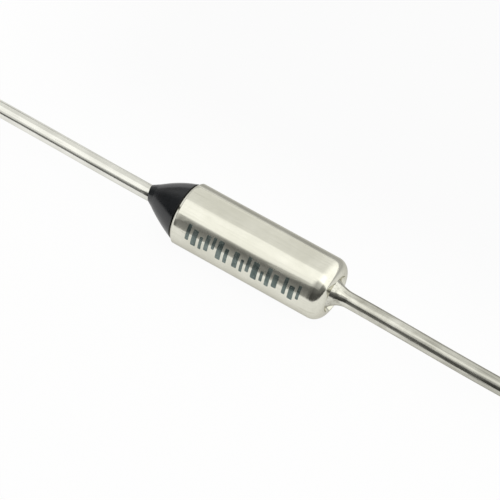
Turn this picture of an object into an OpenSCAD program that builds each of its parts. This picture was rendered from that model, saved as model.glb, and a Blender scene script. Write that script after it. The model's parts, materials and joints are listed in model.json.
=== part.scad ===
// Axial thermal fuse: a plated metal can with a lead riveted to its closed end,
// and an insulated lead that leaves the rolled rim through a cone of black epoxy.
// Inside, a pressed pellet holds two springs compressed, which keep a star contact on the head
// of the insulated lead. When the pellet melts, the springs relax and the contact leaves the head.
// The common axis is X, with the closed end at +X and the origin in the middle of the can.

/* [Case] */
// Outer diameter of the can
case_d = 4.0; // [3.6:0.1:5]
// Length of the can, from the rolled rim to the closed end
case_len = 10.5; // [9.5:0.1:14]
// Thickness of the can's side wall
case_wall = 0.3; // [0.2:0.02:0.4]
// Thickness of the can's closed end
end_wall = 0.45; // [0.3:0.05:0.7]
// Outer corner radius of the closed end
end_corner_r = 0.8; // [0.5:0.05:1]
// Thickness of the lip that is rolled in over the bushing
lip_t = 0.25; // [0.15:0.05:0.4]
// Radius of the rolled rim's outer edge
rim_r = 0.12; // [0.05:0.01:0.2]
// Inner corner radius under the rolled lip
lip_corner_r = 0.12; // [0.05:0.01:0.2]
// Room between the rolled lip and the bushing's snout
lip_gap = 0.25; // [0.1:0.05:0.4]

/* [Leads] */
// Diameter of both lead wires
lead_d = 1.0; // [0.8:0.05:1.2]
// Bare length of the insulated lead, from the tip of the seal
isolated_lead_len = 25; // [15:1:40]
// Bare length of the case lead, from the closed end
case_lead_len = 25; // [15:1:40]
// Chamfer on the cut ends of the leads
lead_chamfer = 0.08; // [0.02:0.02:0.2]
// How far the case lead's flared foot stands out past the wire
flare_step = 0.4; // [0.2:0.05:0.5]
// Length of the flared foot
flare_len = 0.95; // [0.6:0.05:1.6]
// How far the rivet tenon behind the foot is thinner than the wire, on each side
tenon_step = 0.1; // [0.05:0.01:0.2]
// How far the insulated lead's contact head stands out past the wire
head_step = 0.25; // [0.15:0.01:0.35]
// Thickness of the contact head
head_t = 0.4; // [0.2:0.05:0.6]
// How far the collar that is upset on the lead behind the bushing stands out past the wire
collar_step = 0.18; // [0.16:0.01:0.22]
// Length of the collar
collar_len = 0.65; // [0.55:0.05:0.7]

/* [Seal] */
// Length of the epoxy cone, from the rim to its tip
seal_len = 2.6; // [2.5:0.05:3.4]
// How far the side of the cone swells out past a straight line
seal_bulge = 0.1; // [0.02:0.01:0.16]
// Thickness of the epoxy on the lead at the cone's tip
seal_tip_t = 0.04; // [0.02:0.01:0.1]

/* [Bushing] */
// Length of the ceramic bushing's body inside the can
bushing_len = 2.4; // [1.8:0.1:3]
// Wall of the nose that carries the contact head
nose_wall = 0.23; // [0.15:0.01:0.35]
// Length of the nose
nose_len = 0.9; // [0.6:0.05:1.2]
// Wall of the snout that stands out of the rim, under the epoxy
snout_wall = 0.43; // [0.3:0.01:0.5]
// Length of the snout past the rim
snout_len = 1.55; // [1:0.05:1.6]

/* [Contact] */
// Sheet thickness of the star contact
contact_t = 0.12; // [0.08:0.01:0.18]
// Depth of the star contact's fingers
finger_depth = 0.6; // [0.45:0.05:0.9]
// Number of fingers
finger_count = 8; // [6:1:12]
// Width of the slots between the fingers
finger_slot = 0.25; // [0.15:0.05:0.4]
// Thickness of the discs at the two ends of the barrel spring
disc_t = 0.2; // [0.12:0.02:0.3]
// Diameter of the disc in the star contact
contact_disc_d = 2.2; // [2:0.1:2.4]

/* [Springs] */
// Wire diameter of the trip spring around the nose
trip_wire_d = 0.2; // [0.14:0.02:0.24]
// Room between the trip spring and what it goes around
trip_room = 0.1; // [0.04:0.01:0.2]
// Gap between the active coils of the trip spring
trip_coil_gap = 0.1; // [0.05:0.01:0.2]
// Wire diameter of the barrel spring
barrel_wire_d = 0.36; // [0.26:0.02:0.4]
// Gap between the active coils of the barrel spring
barrel_coil_gap = 0.2; // [0.1:0.02:0.4]
// Mean diameter of the barrel spring's end coils
barrel_end_d = 1.7; // [1.5:0.1:1.8]
// Room around the barrel spring's widest coil
barrel_room = 0.17; // [0.1:0.01:0.3]

/* [Pellet] */
// Length of the solid pellet
pellet_len = 2.6; // [1.6:0.1:3]
// Room around the pellet
pellet_room = 0.08; // [0.04:0.01:0.15]
// Room around the disc on the pellet
pellet_disc_room = 0.1; // [0.05:0.01:0.2]

/* [Fits] */
// Room between pieces that are pushed into each other
slip = 0.02; // [0.01:0.01:0.04]
// Bond line between the epoxy and the pieces that it wets
bond = 0.01; // [0.005:0.005:0.02]

/* [Hidden] */
// Facets of the turned shapes, which stand for true circles
$fn = 96;
// How far a cut runs past the face that it opens
past = 1;
// Sides of a spring's wire, and steps in one of its turns
wire_sides = 8;
turn_steps = 20;
// Turns of a spring's end coil that lie almost shut, and their pitch in wire diameters
shut_turns = 0.75;
shut_pitch = 1.05;

// Radii
case_r = case_d / 2;
bore_r = case_r - case_wall;
bore_corner_r = end_corner_r - case_wall;
lead_r = lead_d / 2;
head_r = lead_r + head_step;
collar_r = lead_r + collar_step;
flare_r = lead_r + flare_step;
tenon_r = lead_r - tenon_step;
shank_hole_r = lead_r + slip;
nose_r = shank_hole_r + nose_wall;
snout_r = shank_hole_r + snout_wall;
bushing_r = bore_r - slip;
bushing_chamfer = lip_corner_r + slip;
lip_r = snout_r + lip_gap;
seal_r = case_r - rim_r;
seal_tip_r = lead_r + seal_tip_t;
finger_r = bore_r - slip;
contact_disc_r = contact_disc_d / 2;
pellet_r = bore_r - pellet_room;
pellet_disc_r = bore_r - pellet_disc_room;
trip_r = max(head_r, nose_r) + trip_room + trip_wire_d / 2;
barrel_end_r = barrel_end_d / 2;
barrel_mid_r = bore_r - barrel_room - barrel_wire_d / 2;

// Places along the axis, from the closed end to the rim
end_x = case_len / 2;
rim_x = -end_x;
floor_x = end_x - end_wall;
pellet_x = floor_x - pellet_len;
pellet_disc_x = pellet_x - disc_t;
lip_x = rim_x + lip_t;
shoulder_x = lip_x + bushing_len;
nose_x = shoulder_x + nose_len;
head_x = nose_x + head_t;
contact_x = head_x + contact_t;
contact_disc_x = contact_x + disc_t;
snout_x = rim_x - snout_len;
collar_x = snout_x - collar_len;
seal_x = rim_x - seal_len;
isolated_lead_x = seal_x - isolated_lead_len;
case_lead_x = end_x + case_lead_len;

// The flared foot is a hollow arc that runs out tangent to the wire
flare_arc_r = (flare_step * flare_step + flare_len * flare_len) / (2 * flare_step);

// The seal's side is a flat arc, with its centre beyond the axis
seal_chord = [seal_tip_r - seal_r, -seal_len];
seal_chord_len = norm(seal_chord);
seal_arc_r = seal_chord_len * seal_chord_len / (8 * seal_bulge) + seal_bulge / 2;
seal_mid = [seal_r, rim_x] + seal_chord / 2;
seal_inward = [-seal_len, seal_r - seal_tip_r] / seal_chord_len;
seal_centre = seal_mid + seal_inward * (seal_arc_r - seal_bulge);

// Turns a half section about the X axis: across the section is the radius, up it is X
module turned() {
    rotate([0, 90, 0]) rotate_extrude() children();
}

// A band of a half section between two radii and two places along the axis
module band(inner_r, outer_r, low_x, high_x) {
    translate([inner_r, low_x]) square([outer_r - inner_r, high_x - low_x]);
}

// What a round corner leaves over at the radius r and the place x, on the side of x that side gives
module corner(r, x, corner_r, side) {
    translate([r, x]) mirror([0, side < 0 ? 1 : 0]) difference() {
        band(-corner_r, past, -corner_r, past);
        translate([-corner_r, -corner_r]) circle(corner_r);
    }
}

// What a chamfer takes off an edge at the radius r and the place x
module chamfer(r, x, size) {
    translate([r, x]) rotate(45) square(sqrt(2) * size, center = true);
}

// Half section of a bare wire, chamfered at its cut end
module bare_wire(low_x, high_x, cut_x) {
    difference() {
        band(0, lead_r, low_x, high_x);
        chamfer(lead_r, cut_x, lead_chamfer);
    }
}

// Place along the axis of a coil after some turns, with the end coils almost shut
function coil_rise(turn, turns, rise, wire_d) =
    let (shut = shut_pitch * wire_d, open = (rise - 2 * shut_turns * shut) / (turns - 2 * shut_turns))
    turn < shut_turns ? turn * shut
    : turn > turns - shut_turns ? rise - (turns - turn) * shut
    : shut_turns * shut + (turn - shut_turns) * open;

// Turns that fill the rise at a given pitch of the active coils
function coil_turns(rise, wire_d, pitch) =
    2 * shut_turns + (rise - 2 * shut_turns * shut_pitch * wire_d) / pitch;

// A coil spring between two places on the axis, wider in the middle where mid_r is over end_r
module coil_spring(low_x, high_x, wire_d, gap, end_r, mid_r) {
    rise = high_x - low_x - wire_d;
    turns = coil_turns(rise, wire_d, wire_d + gap);
    rings = ceil(turns * turn_steps);
    wire_r = wire_d / 2;
    points = [
        for (i = [0:rings], k = [0:wire_sides - 1])
            let (
                part = i / rings,
                turn_angle = 360 * turns * part,
                side_angle = 360 * k / wire_sides,
                r = end_r + (mid_r - end_r) * sin(180 * part) + wire_r * cos(side_angle),
                x = low_x + wire_r + coil_rise(turns * part, turns, rise, wire_d) + wire_r * sin(side_angle)
            )
            [x, r * cos(turn_angle), r * sin(turn_angle)]
    ];
    sides = [
        for (i = [0:rings - 1], k = [0:wire_sides - 1], half = [0, 1])
            let (
                next = (k + 1) % wire_sides,
                a = i * wire_sides + k,
                b = i * wire_sides + next,
                c = (i + 1) * wire_sides + next,
                d = (i + 1) * wire_sides + k
            )
            half == 0 ? [a, c, b] : [a, d, c]
    ];
    caps = [
        [for (k = [0:wire_sides - 1]) k],
        [for (k = [wire_sides - 1:-1:0]) rings * wire_sides + k],
    ];
    polyhedron(points = points, faces = concat(sides, caps), convexity = 10);
}

// The drawn can: a round corner at the closed end, a rolled lip at the other
module case() {
    color("silver")
    turned() difference() {
        band(0, case_r, rim_x, end_x);
        corner(case_r, end_x, end_corner_r, 1);
        corner(case_r, rim_x, rim_r, -1);
        difference() {
            band(0, bore_r, lip_x, floor_x);
            corner(bore_r, floor_x, bore_corner_r, 1);
            corner(bore_r, lip_x, lip_corner_r, -1);
        }
        band(0, lip_r, rim_x - past, shoulder_x);
        band(0, tenon_r + slip, pellet_x, end_x + past);
    }
}

// The lead of the closed end, with its flared foot and rivet tenon
module case_lead() {
    color("lightgray")
    turned() {
        band(0, tenon_r, floor_x, end_x);
        difference() {
            band(0, flare_r, end_x, end_x + flare_len);
            translate([lead_r + flare_arc_r, end_x + flare_len]) circle(flare_arc_r, $fn = 180);
        }
        bare_wire(end_x + flare_len, case_lead_x, case_lead_x);
    }
}

// The pressed pellet, chamfered to clear the can's inner corner
module thermal_pellet() {
    color("wheat")
    turned() polygon([
        [0, pellet_x],
        [pellet_r, pellet_x],
        [pellet_r, floor_x - bore_corner_r],
        [pellet_r - bore_corner_r, floor_x],
        [0, floor_x],
    ]);
}

// The disc between the pellet and the barrel spring
module pellet_disc() {
    color("darkgoldenrod")
    turned() band(0, pellet_disc_r, pellet_disc_x, pellet_x);
}

// The strong spring that presses the contact home
module barrel_spring() {
    color("dimgray")
    coil_spring(contact_disc_x, pellet_disc_x, barrel_wire_d, barrel_coil_gap, barrel_end_r, barrel_mid_r);
}

// The disc between the barrel spring and the star contact
module contact_disc() {
    color("darkgoldenrod")
    turned() band(0, contact_disc_r, contact_x, contact_disc_x);
}

// The star contact: a shallow cup whose slotted wall wipes the can
module star_contact() {
    bend_r = 2 * contact_t;
    color("gainsboro")
    difference() {
        turned() difference() {
            band(0, finger_r, head_x, head_x + finger_depth);
            corner(finger_r, head_x, bend_r, -1);
            difference() {
                band(0, finger_r - contact_t, contact_x, head_x + finger_depth + past);
                corner(finger_r - contact_t, contact_x, bend_r - contact_t, -1);
            }
        }
        for (i = [0:finger_count - 1])
            rotate([360 * i / finger_count, 0, 0])
            translate([head_x - past, -finger_slot / 2, contact_disc_r + slip])
            cube([finger_depth + 2 * past, finger_slot, finger_r]);
    }
}

// The weak spring that lifts the contact off the head
module trip_spring() {
    color("dimgray")
    coil_spring(shoulder_x, head_x, trip_wire_d, trip_coil_gap, trip_r, trip_r);
}

// The ceramic bushing: body in the can, nose inside, snout outside
module ceramic_bushing() {
    color("ivory")
    turned() {
        band(shank_hole_r, snout_r, snout_x, lip_x);
        difference() {
            band(shank_hole_r, bushing_r, lip_x, shoulder_x);
            chamfer(bushing_r, lip_x, bushing_chamfer);
            chamfer(bushing_r, shoulder_x, bushing_chamfer);
        }
        band(shank_hole_r, nose_r, shoulder_x, nose_x);
    }
}

// The insulated lead: contact head, shank through the bushing, collar and bare wire
module isolated_lead() {
    color("lightgray")
    turned() {
        band(0, head_r, nose_x, head_x);
        band(0, lead_r, snout_x, nose_x);
        band(0, collar_r, collar_x, snout_x);
        bare_wire(isolated_lead_x, collar_x, isolated_lead_x);
    }
}

// The epoxy cone over the rim, the snout and the collar
module epoxy_seal() {
    color("#202425")
    turned() difference() {
        union() {
            intersection() {
                band(0, case_r, seal_x, rim_x);
                translate(seal_centre) circle(seal_arc_r, $fn = 360);
            }
            band(0, lip_r - bond, rim_x, lip_x);
        }
        band(0, snout_r + bond, snout_x, lip_x + past);
        band(0, collar_r + bond, collar_x - bond, lip_x);
        band(0, lead_r + bond, seal_x - past, lip_x);
    }
}

case();
case_lead();
thermal_pellet();
pellet_disc();
barrel_spring();
contact_disc();
star_contact();
trip_spring();
ceramic_bushing();
isolated_lead();
epoxy_seal();
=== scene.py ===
import json
import math
import bmesh
import bpy
from mathutils import Matrix, Vector


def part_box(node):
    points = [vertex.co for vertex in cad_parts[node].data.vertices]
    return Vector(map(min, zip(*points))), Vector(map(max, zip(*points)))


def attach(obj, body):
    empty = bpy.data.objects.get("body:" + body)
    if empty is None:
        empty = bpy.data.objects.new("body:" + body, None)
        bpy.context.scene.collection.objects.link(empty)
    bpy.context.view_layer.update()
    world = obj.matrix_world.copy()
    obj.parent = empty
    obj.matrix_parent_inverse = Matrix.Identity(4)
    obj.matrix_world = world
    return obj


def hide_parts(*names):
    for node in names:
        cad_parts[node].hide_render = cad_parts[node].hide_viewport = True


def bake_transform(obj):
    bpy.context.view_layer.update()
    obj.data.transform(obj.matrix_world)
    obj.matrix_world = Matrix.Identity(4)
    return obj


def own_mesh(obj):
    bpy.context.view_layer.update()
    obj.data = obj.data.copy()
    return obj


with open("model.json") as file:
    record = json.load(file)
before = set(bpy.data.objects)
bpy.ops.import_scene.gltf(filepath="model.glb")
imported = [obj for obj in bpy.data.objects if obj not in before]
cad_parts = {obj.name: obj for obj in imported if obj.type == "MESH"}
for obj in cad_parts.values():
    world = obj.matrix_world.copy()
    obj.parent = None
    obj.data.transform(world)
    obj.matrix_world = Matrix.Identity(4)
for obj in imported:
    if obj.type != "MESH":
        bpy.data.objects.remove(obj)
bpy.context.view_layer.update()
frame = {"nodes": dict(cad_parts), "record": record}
print("frame loaded:", len(frame["nodes"]), "nodes")

mm = 0.001
mergeGap = 0.00001 * mm
scene = bpy.context.scene
scene.view_settings.view_transform = "Standard"

# sizes that the pieces share, read from the frame
mounts = {mount["name"]: mount for mount in frame["record"]["mounts"]}
caseR = mounts["case_barrel"]["dims"]["r_mm"] * mm
wireR = mounts["case_lead"]["dims"]["r_mm"] * mm
rimX, endX = (corner.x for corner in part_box("case"))
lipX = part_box("epoxy_seal")[1].x
snoutX, noseX = (corner.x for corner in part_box("ceramic_bushing"))
pelletX, floorX = (corner.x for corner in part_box("thermal_pellet"))
bond = 0.01 * mm   # the epoxy's bond line


# mesh helpers: a half section in the XZ plane, turned about the X axis
def addOutline(bm, points):
    corners = [bm.verts.new((x, 0, r)) for x, r in points]
    for a, b in zip(corners, corners[1:]):
        bm.edges.new((a, b))
    return corners


def roundOff(bm, corners, radius, segments):
    bmesh.ops.bevel(bm, geom=corners, offset=radius, offset_type="OFFSET", affect="VERTICES",
                    segments=segments, profile=0.5, material=-1)


def sweepArc(bm, start, centreX, centreR, angle, steps):
    swept = bmesh.ops.spin(bm, geom=[start], cent=(centreX, 0, centreR), axis=(0, -1, 0),
                           angle=angle, steps=steps, use_duplicate=False)
    return swept["geom_last"][0]


def fullTurn(bm, geom, steps):
    bmesh.ops.spin(bm, geom=geom, cent=(0, 0, 0), axis=(1, 0, 0), angle=2 * math.pi, steps=steps,
                   use_merge=True, use_duplicate=False)


def turnOutline(bm, steps):
    fullTurn(bm, bm.verts[:] + bm.edges[:], steps)
    bmesh.ops.remove_doubles(bm, verts=bm.verts[:], dist=mergeGap)
    bmesh.ops.recalc_face_normals(bm, faces=bm.faces[:])


# the straight side of a can or a wire is its longest outer edge
def cutSide(bm, cuts):
    side = max(bm.edges, key=lambda edge: edge.calc_length() + edge.verts[0].co.z)
    bmesh.ops.subdivide_edges(bm, edges=[side], cuts=cuts)


def vertsOf(parts):
    return [part for part in parts if isinstance(part, bmesh.types.BMVert)]


def addPiece(name, bm, material, sharpAngle=35):
    mesh = bpy.data.meshes.new(name)
    bm.to_mesh(mesh)
    bm.free()
    mesh.shade_smooth()
    mesh.set_sharp_from_angle(angle=math.radians(sharpAngle))
    mesh.materials.append(material)
    piece = bpy.data.objects.new(name, mesh)
    scene.collection.objects.link(piece)
    print(name, len(mesh.polygons), "faces")
    return piece


# node helpers: an input takes another node's output, or a plain value
def feed(tree, socket, source):
    if isinstance(source, bpy.types.NodeSocket):
        tree.links.new(source, socket)
    elif socket.type == "RGBA":
        socket.default_value = (*source, 1)
    else:
        socket.default_value = source


def put(tree, kind, inputs=None, **settings):
    made = tree.nodes.new(kind)
    for name, value in settings.items():
        setattr(made, name, value)
    for socket, source in (inputs or {}).items():
        feed(tree, made.inputs[socket], source)
    return made


def calc(tree, operation, a, b=0.0):
    return put(tree, "ShaderNodeMath", {0: a, 1: b}, operation=operation).outputs[0]


def remap(tree, source, low, high, toLow=0.0, toHigh=1.0):
    inputs = {"Value": source, "From Min": low, "From Max": high, "To Min": toLow, "To Max": toHigh}
    return put(tree, "ShaderNodeMapRange", inputs).outputs["Result"]


# the Mix node has several sockets of one name, so its colours go by number
def mixColours(tree, share, first, second):
    return put(tree, "ShaderNodeMix", {0: share, 6: first, 7: second}, data_type="RGBA").outputs[2]


def noiseAt(tree, vector, scale, detail, roughness=0.5):
    inputs = {"Vector": vector, "Scale": scale, "Detail": detail, "Roughness": roughness}
    return put(tree, "ShaderNodeTexNoise", inputs).outputs["Fac"]


def newGroup(name, values, outputs):
    group = bpy.data.node_groups.new(name, "ShaderNodeTree")
    group.interface.new_socket(name="Vector", in_out="INPUT", socket_type="NodeSocketVector")
    for label in values:
        group.interface.new_socket(name=label, in_out="INPUT", socket_type="NodeSocketFloat")
    for label in outputs:
        group.interface.new_socket(name=label, in_out="OUTPUT", socket_type="NodeSocketFloat")
    return group, put(group, "NodeGroupInput").outputs, put(group, "NodeGroupOutput").inputs


# drawn and plated metal: slow clouds and waves, with draw lines and a few scratches along X
wearValues = ("Cloud Scale", "Line Scale", "Scratch Scale", "Scratch Share")
wearPattern = {"cloudDetail": 4, "cloudRoughness": 0.6, "waveScale": 0.6, "waveDetail": 1,
               "lineStretch": (0.03, 1, 1), "lineDetail": 3,
               "scratchStretch": (0.08, 1, 1), "scratchTurn": (0, 0.35, 0.6), "scratchDetail": 1,
               "scratchTop": 0.75, "scratchEdge": 0.04}


def makeMetalWear():
    group, given, results = newGroup("metalWear", wearValues, ("Cloud", "Wave", "Lines", "Scratches"))
    place = given["Vector"]
    cloud = noiseAt(group, place, given["Cloud Scale"], wearPattern["cloudDetail"],
                    wearPattern["cloudRoughness"])
    waveScale = calc(group, "MULTIPLY", given["Cloud Scale"], wearPattern["waveScale"])
    wave = noiseAt(group, place, waveScale, wearPattern["waveDetail"])
    drawn = put(group, "ShaderNodeMapping", {"Vector": place, "Scale": wearPattern["lineStretch"]})
    lines = noiseAt(group, drawn.outputs["Vector"], given["Line Scale"], wearPattern["lineDetail"])
    scraped = put(group, "ShaderNodeMapping", {
        "Vector": place, "Rotation": wearPattern["scratchTurn"], "Scale": wearPattern["scratchStretch"]})
    scrapes = noiseAt(group, scraped.outputs["Vector"], given["Scratch Scale"], wearPattern["scratchDetail"])
    limit = calc(group, "SUBTRACT", wearPattern["scratchTop"], given["Scratch Share"])
    scratches = remap(group, calc(group, "SUBTRACT", scrapes, limit), 0, wearPattern["scratchEdge"])
    for label, source in (("Cloud", cloud), ("Wave", wave), ("Lines", lines), ("Scratches", scratches)):
        feed(group, results[label], source)
    return group


# cast and pressed stuff: slow mottling, fine grain and sparse pits
grainValues = ("Mottle Scale", "Grain Scale", "Pit Scale")
grainPattern = {"mottleDetail": 3, "mottleRoughness": 0.55, "grainDetail": 3, "grainRoughness": 0.6,
                "pitRim": 0.22, "pitFloor": 0.1}


def makeCastGrain():
    group, given, results = newGroup("castGrain", grainValues, ("Mottle", "Grain", "Pits"))
    place = given["Vector"]
    mottle = noiseAt(group, place, given["Mottle Scale"], grainPattern["mottleDetail"],
                     grainPattern["mottleRoughness"])
    grain = noiseAt(group, place, given["Grain Scale"], grainPattern["grainDetail"],
                    grainPattern["grainRoughness"])
    cells = put(group, "ShaderNodeTexVoronoi", {"Vector": place, "Scale": given["Pit Scale"]})
    pits = remap(group, cells.outputs["Distance"], grainPattern["pitRim"], grainPattern["pitFloor"])
    for label, source in (("Mottle", mottle), ("Grain", grain), ("Pits", pits)):
        feed(group, results[label], source)
    return group


metalWear = makeMetalWear()
castGrain = makeCastGrain()

# what all materials share: the spans of noise that show, and how dull a scratch is
surface = {"noiseSpan": (0.3, 0.7), "lineSpan": (0.5, 0.68), "scratchRoughness": 0.12}


def newMaterial(name, plain):
    material = bpy.data.materials.new(name)
    material.use_nodes = True
    tree = material.node_tree
    shader = tree.nodes["Principled BSDF"]
    for socket, value in plain.items():
        feed(tree, shader.inputs[socket], value)
    return material, tree, shader


def bumpInto(tree, shader, height):
    bump = put(tree, "ShaderNodeBump", {"Strength": 1.0, "Distance": mm, "Height": height})
    feed(tree, shader.inputs["Normal"], bump.outputs["Normal"])


def metalMaterial(name, look):
    material, tree, shader = newMaterial(name, {"Metallic": 1.0, "Specular Tint": look["edge"]})
    place = put(tree, "ShaderNodeTexCoord").outputs["Object"]
    values = {socket: look[socket] for socket in wearValues}
    wear = put(tree, "ShaderNodeGroup", {"Vector": place, **values}, node_tree=metalWear)
    cloud = remap(tree, wear.outputs["Cloud"], *surface["noiseSpan"])
    lines = wear.outputs["Lines"]
    scratches = wear.outputs["Scratches"]
    tone = mixColours(tree, cloud, look["dark"], look["light"])
    if "tarnish" in look:   # duller along X
        along = put(tree, "ShaderNodeSeparateXYZ", {"Vector": place}).outputs["X"]
        tone = mixColours(tree, remap(tree, along, *look["tarnishAlong"]), tone, look["tarnish"])
    streaks = remap(tree, lines, *surface["lineSpan"], 0, look["lineTone"])
    worn = calc(tree, "MAXIMUM", streaks, calc(tree, "MULTIPLY", scratches, look["scratchTone"]))
    feed(tree, shader.inputs["Base Color"], mixColours(tree, worn, tone, look["worn"]))
    rough = remap(tree, cloud, 0, 1, *look["roughness"])
    rough = calc(tree, "ADD", rough, calc(tree, "MULTIPLY", scratches, surface["scratchRoughness"]))
    feed(tree, shader.inputs["Roughness"], rough)
    height = calc(tree, "MULTIPLY", wear.outputs["Wave"], look["waveDepth"])
    height = calc(tree, "ADD", height, calc(tree, "MULTIPLY", lines, look["lineDepth"]))
    height = calc(tree, "SUBTRACT", height, calc(tree, "MULTIPLY", scratches, look["scratchDepth"]))
    bumpInto(tree, shader, height)
    return material


def grainMaterial(name, look):
    plain = {"Metallic": look.get("metallic", 0), "Specular IOR Level": look["specular"]}
    material, tree, shader = newMaterial(name, plain)
    place = put(tree, "ShaderNodeTexCoord").outputs["Object"]
    values = {socket: look[socket] for socket in grainValues}
    grain = put(tree, "ShaderNodeGroup", {"Vector": place, **values}, node_tree=castGrain)
    mottle = remap(tree, grain.outputs["Mottle"], *surface["noiseSpan"])
    pits = grain.outputs["Pits"]
    tone = mixColours(tree, mottle, look["dark"], look["light"])
    pitTone = calc(tree, "MULTIPLY", pits, look["pitTone"])
    feed(tree, shader.inputs["Base Color"], mixColours(tree, pitTone, tone, look["pit"]))
    feed(tree, shader.inputs["Roughness"], remap(tree, mottle, 0, 1, *look["roughness"]))
    height = calc(tree, "MULTIPLY", grain.outputs["Grain"], look["grainDepth"])
    height = calc(tree, "SUBTRACT", height, calc(tree, "MULTIPLY", pits, look["pitDepth"]))
    bumpInto(tree, shader, height)
    return material


# scales are features in a metre, depths are in millimetres
platedCan = metalMaterial("platedCan", {
    "dark": (0.70, 0.69, 0.60), "light": (0.84, 0.83, 0.74), "worn": (0.64, 0.63, 0.54),
    "edge": (0.75, 0.74, 0.71), "roughness": (0.10, 0.17),
    "Cloud Scale": 420, "Line Scale": 9000, "Scratch Scale": 2600, "Scratch Share": 0.085,
    "lineTone": 0.3, "scratchTone": 0.5, "waveDepth": 0.018, "lineDepth": 0.0005, "scratchDepth": 0.001})
brightWire = metalMaterial("brightWire", {
    "dark": (0.74, 0.735, 0.68), "light": (0.88, 0.875, 0.82), "worn": (0.68, 0.67, 0.62),
    "edge": (0.8, 0.8, 0.77), "roughness": (0.11, 0.18),
    "Cloud Scale": 700, "Line Scale": 9000, "Scratch Scale": 4200, "Scratch Share": 0.06,
    "lineTone": 0.4, "scratchTone": 0.4, "waveDepth": 0.008, "lineDepth": 0.0008, "scratchDepth": 0.001})
dullWire = metalMaterial("dullWire", {
    "dark": (0.54, 0.53, 0.465), "light": (0.87, 0.865, 0.79), "worn": (0.26, 0.255, 0.225),
    "edge": (0.6, 0.59, 0.56), "roughness": (0.11, 0.18),
    "tarnish": (0.48, 0.475, 0.42), "tarnishAlong": (6.5 * mm, 17 * mm, 0, 0.85),
    "Cloud Scale": 900, "Line Scale": 12000, "Scratch Scale": 4200, "Scratch Share": 0.13,
    "lineTone": 0.5, "scratchTone": 0.4, "waveDepth": 0.018, "lineDepth": 0.003, "scratchDepth": 0.0015})
springSteel = metalMaterial("springSteel", {
    "dark": (0.42, 0.42, 0.43), "light": (0.58, 0.58, 0.58), "worn": (0.34, 0.34, 0.35),
    "edge": (0.8, 0.8, 0.8), "roughness": (0.24, 0.36),
    "Cloud Scale": 1500, "Line Scale": 9000, "Scratch Scale": 5000, "Scratch Share": 0.06,
    "lineTone": 0.4, "scratchTone": 0.4, "waveDepth": 0.003, "lineDepth": 0.0006, "scratchDepth": 0.0008})
discBrass = metalMaterial("discBrass", {
    "dark": (0.62, 0.45, 0.20), "light": (0.80, 0.62, 0.34), "worn": (0.52, 0.36, 0.15),
    "edge": (0.8, 0.8, 0.8), "roughness": (0.22, 0.34),
    "Cloud Scale": 1200, "Line Scale": 8000, "Scratch Scale": 4000, "Scratch Share": 0.08,
    "lineTone": 0.4, "scratchTone": 0.4, "waveDepth": 0.003, "lineDepth": 0.0005, "scratchDepth": 0.0008})
contactSilver = metalMaterial("contactSilver", {
    "dark": (0.76, 0.75, 0.71), "light": (0.88, 0.87, 0.85), "worn": (0.66, 0.65, 0.61),
    "edge": (0.8, 0.8, 0.8), "roughness": (0.18, 0.30),
    "Cloud Scale": 1200, "Line Scale": 8000, "Scratch Scale": 4000, "Scratch Share": 0.08,
    "lineTone": 0.4, "scratchTone": 0.4, "waveDepth": 0.003, "lineDepth": 0.0005, "scratchDepth": 0.0008})
blackEpoxy = grainMaterial("blackEpoxy", {
    "dark": (0.006, 0.007, 0.009), "light": (0.011, 0.013, 0.016), "pit": (0.004, 0.004, 0.004),
    "roughness": (0.17, 0.26), "specular": 0.6, "Mottle Scale": 500, "Grain Scale": 5000, "Pit Scale": 1400,
    "pitTone": 0.5, "grainDepth": 0.002, "pitDepth": 0.003})
firedCeramic = grainMaterial("firedCeramic", {
    "dark": (0.80, 0.76, 0.68), "light": (0.90, 0.87, 0.81), "pit": (0.62, 0.56, 0.46),
    "roughness": (0.5, 0.65), "specular": 0.4, "Mottle Scale": 900, "Grain Scale": 9000, "Pit Scale": 2600,
    "pitTone": 0.5, "grainDepth": 0.002, "pitDepth": 0.004})
pressedPellet = grainMaterial("pressedPellet", {
    "dark": (0.70, 0.62, 0.44), "light": (0.86, 0.80, 0.64), "pit": (0.56, 0.47, 0.30),
    "roughness": (0.6, 0.78), "specular": 0.3, "Mottle Scale": 1400, "Grain Scale": 11000, "Pit Scale": 3200,
    "pitTone": 0.6, "grainDepth": 0.006, "pitDepth": 0.008})
# a thin film that lets the metal shine through
markInk = grainMaterial("markInk", {
    "dark": (0.10, 0.135, 0.128), "light": (0.25, 0.30, 0.285), "pit": (0.42, 0.45, 0.43), "metallic": 0.8,
    "roughness": (0.20, 0.32), "specular": 0.4, "Mottle Scale": 1700, "Grain Scale": 9000, "Pit Scale": 5000,
    "pitTone": 0.6, "grainDepth": 0.001, "pitDepth": 0.002})
print("materials made:", len(bpy.data.materials))


# the drawn can, open at the rolled rim and at the rivet hole
can = {"wall": 0.3 * mm, "endCorner": 0.8 * mm, "rivetHole": 0.42 * mm,
       "dishDepth": 0.2 * mm, "dishR": 1.09 * mm, "crestR": 1.2 * mm, "crestEdge": 0.1 * mm,
       "lipHole": 1.2 * mm, "lipCorner": 0.12 * mm, "rimRoll": 0.23 * mm, "rimEdge": 0.02 * mm,
       "cuts": 40, "steps": 192}
footX = endX - can["dishDepth"]   # the dish's floor, where the lead's foot stands


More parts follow.
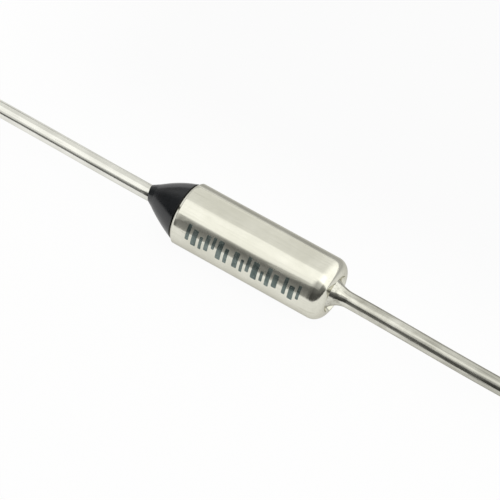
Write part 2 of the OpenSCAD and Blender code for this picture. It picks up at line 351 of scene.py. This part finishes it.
def makeCan():
    bm = bmesh.new()
    boreR = caseR - can["wall"]
    corners = addOutline(bm, [
        (rimX, can["lipHole"]), (rimX, caseR - can["rimRoll"]), (rimX + can["rimRoll"], caseR), (endX, caseR),
        (endX, can["crestR"]), (footX, can["dishR"]), (footX, can["rivetHole"]),
        (floorX, can["rivetHole"]), (floorX, boreR), (lipX, boreR), (lipX, can["lipHole"])])
    bm.edges.new((corners[-1], corners[0]))
    roundOff(bm, [corners[3]], can["endCorner"], segments=16)
    roundOff(bm, [corners[4]], can["crestEdge"], segments=6)
    roundOff(bm, [corners[8]], can["endCorner"] - can["wall"], segments=8)
    roundOff(bm, corners[1:3], can["rimEdge"], segments=5)
    roundOff(bm, [corners[9]], can["lipCorner"], segments=6)
    cutSide(bm, can["cuts"])
    turnOutline(bm, can["steps"])
    piece = addPiece("can_shell", bm, platedCan)
    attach(piece, "can")
    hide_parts("case")


# the cone of epoxy, with the bed of the snout, the collar and the wire inside it
cone = {"baseR": 1.81 * mm, "seatR": 1.75 * mm, "lift": 0.05 * mm, "bulge": 0.075 * mm,
        "neckR": 0.76 * mm, "neckFromRim": 2.05 * mm, "neckBlend": 0.12 * mm,
        "tipFromRim": 2.46 * mm, "tipSkin": 0.02 * mm, "wireSway": -0.05 * mm,
        "leanAngle": 27, "lean": 0.04 * mm, "slant": 0.13 * mm, "tipPower": 4,
        "snoutR": 0.95 * mm, "collarR": 0.68 * mm, "collarLength": 0.65 * mm, "collarEdge": 0.15 * mm,
        "steps": 160}
coneTipX = rimX - cone["tipFromRim"]


# the epoxy set leaning to its upper side, with a slanted tip around the wire
def leanCone(verts):
    baseX = rimX - cone["lift"]
    angle = math.radians(cone["leanAngle"])
    upper = Vector((0, math.cos(angle), math.sin(angle)))
    for vert in verts:
        share = max(0.0, (vert.co.x - baseX) / (coneTipX - baseX))
        tipShare = share ** cone["tipPower"]
        towards = Vector((0, vert.co.y, vert.co.z)).normalized().dot(upper)
        vert.co += upper * cone["lean"] * math.sin(math.pi * share)
        vert.co.y += cone["wireSway"] * tipShare
        vert.co.x -= cone["slant"] * towards * tipShare


def makeCone():
    bm = bmesh.new()
    baseX, neckX = rimX - cone["lift"], rimX - cone["neckFromRim"]
    chord = Vector((neckX - baseX, cone["neckR"] - cone["baseR"]))
    arcR = chord.length_squared / (8 * cone["bulge"]) + cone["bulge"] / 2
    inward = Vector((-chord.y, chord.x)).normalized()
    centre = Vector((baseX, cone["baseR"])) + chord / 2 + inward * (arcR - cone["bulge"])
    base = bm.verts.new((baseX, 0, cone["baseR"]))
    neck = sweepArc(bm, base, centre.x, centre.y, 2 * math.asin(chord.length / 2 / arcR), steps=24)
    tip = addOutline(bm, [(coneTipX, wireR + cone["tipSkin"]), (coneTipX, wireR + bond)])
    bm.edges.new((neck, tip[0]))
    roundOff(bm, [neck], cone["neckBlend"], segments=5)
    turnOutline(bm, cone["steps"])
    leanCone(bm.verts)
    skin = set(bm.verts)

    # the bed of the snout and the collar, joined to the skin at the tip and at the rim
    collarEndX = snoutX - cone["collarLength"] - bond
    bed = addOutline(bm, [
        (collarEndX, wireR + bond), (collarEndX, cone["collarR"] + bond), (snoutX, cone["collarR"] + bond),
        (snoutX, cone["snoutR"] + bond), (lipX, cone["snoutR"] + bond), (lipX, can["lipHole"] - bond),
        (rimX - bond, can["lipHole"] - bond), (rimX - bond, cone["seatR"])])
    roundOff(bm, [bed[1]], cone["collarEdge"], segments=4)
    inner = [vert for vert in bm.verts if vert not in skin]
    fullTurn(bm, inner + [edge for edge in bm.edges if edge.is_wire], cone["steps"])
    middleX = (rimX + coneTipX) / 2
    rings = [edge for edge in bm.edges if edge.is_boundary]
    bmesh.ops.bridge_loops(bm, edges=[edge for edge in rings if edge.verts[0].co.x < middleX])
    bmesh.ops.bridge_loops(bm, edges=[edge for edge in rings if edge.verts[0].co.x > middleX])
    bmesh.ops.recalc_face_normals(bm, faces=bm.faces[:])
    piece = addPiece("epoxy_cone", bm, blackEpoxy)
    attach(piece, "can")
    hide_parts("epoxy_seal")


# both leads: a wire that was straightened by hand keeps a slow bend, and runs straight after it
leadWire = {"bendLength": 12 * mm, "cut": 0.08 * mm, "cuts": 48, "steps": 96}


def swayWire(verts, startX, sway):
    for vert in verts:
        share = min(1.0, abs(vert.co.x - startX) / leadWire["bendLength"])
        vert.co.y += sway * math.cos(math.pi * share)


# the lead of the closed end: rivet tenon, flared foot and bare wire
footLead = {"tenonR": 0.4 * mm, "footR": 0.94 * mm, "rim": 0.06 * mm, "rimEdge": 0.025 * mm,
            "length": 0.95 * mm, "sway": 0.095 * mm, "kick": 0.14 * mm}


def makeFootLead():
    bm = bmesh.new()
    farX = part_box("case_lead")[1].x
    tenonR, footR = footLead["tenonR"], footLead["footR"]
    flareX = footX + footLead["rim"]
    neckX = endX + footLead["length"]
    flare = footR - wireR
    arcR = (flare ** 2 + (neckX - flareX) ** 2) / (2 * flare)
    tenon = addOutline(bm, [(floorX, 0), (floorX, tenonR), (footX, tenonR), (footX, footR), (flareX, footR)])
    neck = sweepArc(bm, tenon[-1], neckX, wireR + arcR, math.asin((neckX - flareX) / arcR), steps=18)
    wire = addOutline(bm, [(farX, wireR), (farX, 0)])
    bm.edges.new((neck, wire[0]))
    roundOff(bm, [wire[0]], leadWire["cut"], segments=3)
    roundOff(bm, [tenon[-2], tenon[-1]], footLead["rimEdge"], segments=3)
    cutSide(bm, leadWire["cuts"])
    turnOutline(bm, leadWire["steps"])
    outside = [vert for vert in bm.verts if vert.co.x > footX + bond or vert.co.yz.length > tenonR + bond]
    swayWire(outside, footX, footLead["sway"])
    for vert in outside:   # the wire was knocked to one side of its foot
        share = min(1.0, (vert.co.x - footX) / (neckX - footX))
        vert.co.y -= footLead["kick"] * (1 - share) ** 2
    piece = addPiece("foot_lead", bm, dullWire)
    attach(piece, "can")
    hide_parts("case_lead")


# the insulated lead: contact head, shank, upset collar and bare wire
headLead = {"headR": 0.75 * mm, "headEdge": 0.06 * mm, "collarEdge": 0.05 * mm}


def makeHeadLead():
    bm = bmesh.new()
    farX, headX = (corner.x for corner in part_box("isolated_lead"))
    collarX = snoutX - cone["collarLength"]
    corners = addOutline(bm, [
        (farX, 0), (farX, wireR), (coneTipX, wireR), (collarX, wireR), (collarX, cone["collarR"]),
        (snoutX, cone["collarR"]), (snoutX, wireR), (noseX, wireR), (noseX, headLead["headR"]),
        (headX, headLead["headR"]), (headX, 0)])
    roundOff(bm, [corners[1]], leadWire["cut"], segments=3)
    roundOff(bm, [corners[4]], cone["collarEdge"], segments=4)
    roundOff(bm, [corners[5]], headLead["collarEdge"], segments=4)
    roundOff(bm, corners[8:10], headLead["headEdge"], segments=4)
    cutSide(bm, leadWire["cuts"])
    turnOutline(bm, leadWire["steps"])
    swayWire([vert for vert in bm.verts if vert.co.x < coneTipX + bond], coneTipX, cone["wireSway"])
    piece = addPiece("head_lead", bm, brightWire)
    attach(piece, "can")
    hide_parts("isolated_lead")


# the pressed pellet, drawn whole; in the real fuse it shrinks to the closed end as it melts
pellet = {"radius": 1.62 * mm, "chamfer": 0.5 * mm, "edge": 0.06 * mm, "keep": 0.265, "steps": 128}


def makePellet():
    bm = bmesh.new()
    corners = addOutline(bm, [
        (pelletX, 0), (pelletX, pellet["radius"]), (floorX - pellet["chamfer"], pellet["radius"]),
        (floorX, pellet["radius"] - pellet["chamfer"]), (floorX, 0)])
    roundOff(bm, [corners[1]], pellet["edge"], segments=4)
    turnOutline(bm, pellet["steps"])
    piece = addPiece("pellet_tablet", bm, pressedPellet)
    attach(piece, "can")
    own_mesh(piece)
    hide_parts("thermal_pellet")


# the two coil springs: end coils almost shut, the barrel spring wider in the middle
coilShape = {"shutTurns": 0.75, "shutPitch": 1.05, "stepsPerTurn": 48, "wireSides": 16, "sharpAngle": 50}
tripCoil = {"name": "trip_coil", "node": "trip_spring", "wire": 0.2 * mm, "gap": 0.1 * mm,
            "endR": 0.95 * mm, "midR": 0.95 * mm, "bodies": ("can", "contact")}
barrelCoil = {"name": "barrel_coil", "node": "barrel_spring", "wire": 0.36 * mm, "gap": 0.2 * mm,
              "endR": 0.85 * mm, "midR": 1.35 * mm, "bodies": ("contact", "pellet_plate")}


def makeCoil(coil):
    bm = bmesh.new()
    lowX, highX = (corner.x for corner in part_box(coil["node"]))
    wire = coil["wire"]
    shut = coilShape["shutTurns"]
    shutRise = shut * coilShape["shutPitch"] * wire
    rise = highX - lowX - wire
    openTurns = (rise - 2 * shutRise) / (wire + coil["gap"])
    turns = openTurns + 2 * shut
    steps = math.ceil(turns * coilShape["stepsPerTurn"])

    def riseAt(done):
        if done < shut:
            return shutRise * done / shut
        if done > turns - shut:
            return rise - shutRise * (turns - done) / shut
        return shutRise + (done - shut) * (wire + coil["gap"])

    def radiusAt(share):
        return coil["endR"] + (coil["midR"] - coil["endR"]) * math.sin(math.pi * share)

    start = Matrix.Translation((lowX + wire / 2, coil["endR"], 0))
    ring = bmesh.ops.create_circle(bm, segments=coilShape["wireSides"], radius=wire / 2, matrix=start)
    front = ring["verts"] + bm.edges[:]
    angle = 2 * math.pi * turns / steps
    for step in range(1, steps + 1):
        before, after = (step - 1) / steps, step / steps
        forward = riseAt(turns * after) - riseAt(turns * before)
        swept = bmesh.ops.spin(bm, geom=front, cent=(0, 0, 0), axis=(1, 0, 0), dvec=(forward, 0, 0),
                               angle=angle, steps=1, use_duplicate=False)
        front = swept["geom_last"]
        outward = Vector((0, math.cos(angle * step), math.sin(angle * step)))
        bmesh.ops.translate(bm, verts=vertsOf(front), vec=outward * (radiusAt(after) - radiusAt(before)))
    bmesh.ops.holes_fill(bm, edges=bm.edges[:], sides=coilShape["wireSides"])
    bmesh.ops.recalc_face_normals(bm, faces=bm.faces[:])
    piece = addPiece(coil["name"], bm, springSteel, coilShape["sharpAngle"])
    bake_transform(piece)
    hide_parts(coil["node"])


makeCan()
makeCone()
makeFootLead()
makeHeadLead()
makePellet()
makeCoil(tripCoil)
makeCoil(barrelCoil)

finishes = {"pellet_disc": discBrass, "contact_disc": discBrass, "star_contact": contactSilver,
            "ceramic_bushing": firedCeramic}
for nodeName, finish in finishes.items():
    for holder in frame["nodes"][nodeName].material_slots:
        holder.material = finish
print("inner nodes dressed:", len(finishes))


# plain bars of ink along the near side of the can: width in millimetres, then top and bottom as shares
marks = {"film": 0.006 * mm, "bite": 0.002 * mm, "corner": 0.06 * mm, "start": -4.08 * mm, "space": 0.18 * mm,
         "gap": 0.2 * mm, "upperAngle": 131, "height": 1.28 * mm, "steps": 12,
         "groups": (((0.24, 0, 0.85), (0.34, 0.12, 1), (0.2, 0.3, 1), (0.28, 0.05, 0.9), (0.2, 0, 0.62),
                     (0.34, 0, 1), (0.24, 0.2, 1)),
                    ((0.34, 0.1, 0.95), (0.2, 0.3, 1), (0.24, 0, 0.8), (0.4, 0.08, 1), (0.2, 0.35, 0.9),
                     (0.28, 0, 1), (0.34, 0.15, 0.85)),
                    ((0.24, 0, 0.9), (0.34, 0.25, 1), (0.2, 0.05, 0.8)))}


def makeMarks():
    bm = bmesh.new()
    inkR = caseR - marks["bite"]
    arc = marks["height"] / caseR
    x = marks["start"]
    for group in marks["groups"]:
        for width, top, bottom in group:
            angle = math.radians(marks["upperAngle"]) + top * arc
            y, z = inkR * math.cos(angle), inkR * math.sin(angle)
            ends = [bm.verts.new((place, y, z)) for place in (x, x + width * mm)]
            edge = bm.edges.new(ends)
            swept = bmesh.ops.spin(bm, geom=ends + [edge], cent=(0, 0, 0), axis=(1, 0, 0),
                                   angle=(bottom - top) * arc, steps=marks["steps"], use_duplicate=False)
            roundOff(bm, ends + vertsOf(swept["geom_last"]), marks["corner"], segments=4)
            x += width * mm + marks["space"]
        x += marks["gap"]
    raised = bmesh.ops.extrude_face_region(bm, geom=bm.faces[:])["geom"]
    grow = (caseR + marks["film"]) / inkR
    bmesh.ops.scale(bm, verts=vertsOf(raised), vec=(1, grow, grow))
    bmesh.ops.recalc_face_normals(bm, faces=bm.faces[:])
    piece = addPiece("ink_marks", bm, markInk)
    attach(piece, "can")


makeMarks()


# camera at the photograph's viewing angle
view = {"azimuth": 32.75, "elevation": 59.0, "distance": 170 * mm, "lens": 206.7, "sensor": 36.0,
        "aimRight": -0.577 * mm, "aimUp": 0.149 * mm, "near": 5 * mm, "far": 10.0}


def makeCamera():
    azimuth, elevation = math.radians(view["azimuth"]), math.radians(view["elevation"])
    right = Vector((math.cos(azimuth), math.sin(azimuth), 0))
    back = Vector((math.sin(azimuth) * math.cos(elevation), -math.cos(azimuth) * math.cos(elevation),
                   math.sin(elevation)))
    aim = right * view["aimRight"] + back.cross(right) * view["aimUp"]
    data = bpy.data.cameras.new("camera")
    data.lens = view["lens"]
    data.sensor_width = view["sensor"]
    data.clip_start, data.clip_end = view["near"], view["far"]
    camera = bpy.data.objects.new("camera", data)
    camera.location = aim + back * view["distance"]
    camera.rotation_euler = back.to_track_quat("Z", "Y").to_euler()
    scene.collection.objects.link(camera)
    scene.camera = camera
    print("camera made")


# white table with a painted shadow, grey behind the can, which the metal mirrors as a darker far edge; spans
# run from one place to another, and may name the values there
table = {"half": 1.5, "roughness": 0.9, "paleTone": (0.95, 0.95, 0.94), "shadowTone": (0.36, 0.36, 0.36),
         "shadowBehind": (1 * mm, 9 * mm), "shadowAlong": (-24 * mm, -14 * mm), "cameraWhite": 0.95,
         "reflectedGlow": (-14 * mm, -7 * mm, 0.9, 0.6), "mirrorLoss": 0.4}


def makeFloor():
    bm = bmesh.new()
    level = Matrix.Translation((0, 0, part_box("case")[0].z))
    bmesh.ops.create_grid(bm, x_segments=1, y_segments=1, size=table["half"], matrix=level)
    material, tree, shader = newMaterial("paleFloor", {"Roughness": table["roughness"]})
    place = put(tree, "ShaderNodeTexCoord").outputs["Object"]
    parts = put(tree, "ShaderNodeSeparateXYZ", {"Vector": place}).outputs
    # painted shadow: the floor's colour greys behind the can and the right lead, where no lamp shades it
    shadowShare = calc(tree, "MULTIPLY", remap(tree, parts["Y"], *table["shadowBehind"]),
                remap(tree, parts["X"], *table["shadowAlong"]))
    feed(tree, shader.inputs["Base Color"], mixColours(tree, shadowShare, table["paleTone"], table["shadowTone"]))
    # white to the camera, and less so in the metal's reflections, where the floor glows as a painted
    # reflection, brighter along the left lead and dimmer on the painted shadow
    rays = put(tree, "ShaderNodeLightPath").outputs
    white = put(tree, "ShaderNodeEmission", {"Color": (1, 1, 1), "Strength": 1.0})
    mirrored = calc(tree, "MAXIMUM", rays["Is Glossy Ray"], rays["Is Transmission Ray"])
    # painted reflection: the floor glows only for glossy rays, more strongly towards the left lead
    reflectedGlow = calc(tree, "SUBTRACT", remap(tree, parts["X"], *table["reflectedGlow"]),
                       calc(tree, "MULTIPLY", shadowShare, table["mirrorLoss"]))
    share = calc(tree, "MAXIMUM", calc(tree, "MULTIPLY", rays["Is Camera Ray"], table["cameraWhite"]),
                 calc(tree, "MULTIPLY", mirrored, reflectedGlow))
    both = put(tree, "ShaderNodeMixShader", {
        0: share, 1: shader.outputs["BSDF"], 2: white.outputs["Emission"]})
    feed(tree, tree.nodes["Material Output"].inputs["Surface"], both.outputs["Shader"])
    addPiece("floor", bm, material)


# soft lamp overhead; its edges are angles from the back, over the top, to the front
softbox = {"height": 0.32, "frontEdge": 130, "backEdge": 76, "halfLength": 0.3, "radiance": 0.31}


def makeSoftbox():
    height = softbox["height"]
    nearY, farY = (height / math.tan(math.radians(softbox[side])) for side in ("frontEdge", "backEdge"))
    data = bpy.data.lights.new("softbox", "AREA")
    data.shape = "RECTANGLE"
    data.size = 2 * softbox["halfLength"]
    data.size_y = farY - nearY
    data.energy = softbox["radiance"] * math.pi * data.size * data.size_y
    lamp = bpy.data.objects.new("softbox", data)
    lamp.location = (0, (nearY + farY) / 2, height)
    scene.collection.objects.link(lamp)


# pale room, dark on the camera's side, its tones by that angle too: the dark side shifts along X,
# the room fades to its left end and glows to its right, and a pale strip lies low in front of the can
room = {"tones": ((0, 0.45), (2, 0.85), (5, 0.98), (16, 0.86), (60, 0.84), (90, 0.86), (122, 0.9), (130, 1.0),
                  (134, 0.42), (140, 0.22), (150, 0.13), (164, 0.1), (174, 0.08), (180, 0.05)),
        "blueShare": 0.97, "darkRise": (-0.375, -0.32, -22, 0), "darkLift": (-0.27, -0.2, 0, 28),
        "leftFade": (-0.8, -0.5, 0, 1), "leftTone": (0.1, 0.45, 0.17, 0.65),
        "rightGlow": (-0.26, 0.4, 0, 0.5), "stripTone": (146, 180, 0, 0.6),
        "stripFrom": (-0.335, -0.27, 0, 1), "stripTo": (-0.262, -0.246, 1, 0)}


def makeRoom():
    halfTurn = 180
    scene.world = bpy.data.worlds.new("room")
    scene.world.use_nodes = True
    tree = scene.world.node_tree
    tree.nodes.clear()
    towards = put(tree, "ShaderNodeTexCoord").outputs["Generated"]
    parts = put(tree, "ShaderNodeSeparateXYZ", {"Vector": towards}).outputs
    height = calc(tree, "MAXIMUM", parts["Z"], 0.0)
    around = calc(tree, "DEGREES", calc(tree, "ARCTAN2", height, parts["Y"]))
    strip = remap(tree, around, *room["stripTone"])
    for side in ("stripFrom", "stripTo"):
        strip = calc(tree, "MULTIPLY", strip, remap(tree, parts["X"], *room[side]))
    for shift in ("darkRise", "darkLift"):
        around = calc(tree, "ADD", around, remap(tree, parts["X"], *room[shift]))
    ramp = put(tree, "ShaderNodeValToRGB", {"Fac": calc(tree, "DIVIDE", around, halfTurn)})
    stops = ramp.color_ramp.elements
    while len(stops) < len(room["tones"]):
        stops.new(0.5)   # its place is set below
    for stop, (angle, tone) in zip(stops, room["tones"]):
        stop.position = angle / halfTurn
        stop.color = (tone, tone, room["blueShare"] * tone, 1)
    strength = calc(tree, "MAXIMUM", remap(tree, parts["X"], *room["leftFade"]),
                    remap(tree, parts["Y"], *room["leftTone"]))
    strength = calc(tree, "ADD", strength, remap(tree, parts["X"], *room["rightGlow"]))
    walls = put(tree, "ShaderNodeBackground", {"Color": ramp.outputs["Color"], "Strength": strength})
    paper = put(tree, "ShaderNodeBackground", {"Color": (1, 1, room["blueShare"]), "Strength": strip})
    both = put(tree, "ShaderNodeAddShader", {0: walls.outputs["Background"], 1: paper.outputs["Background"]})
    feed(tree, put(tree, "ShaderNodeOutputWorld").inputs["Surface"], both.outputs["Shader"])
    print("studio made")


makeCamera()
makeFloor()
makeSoftbox()
makeRoom()
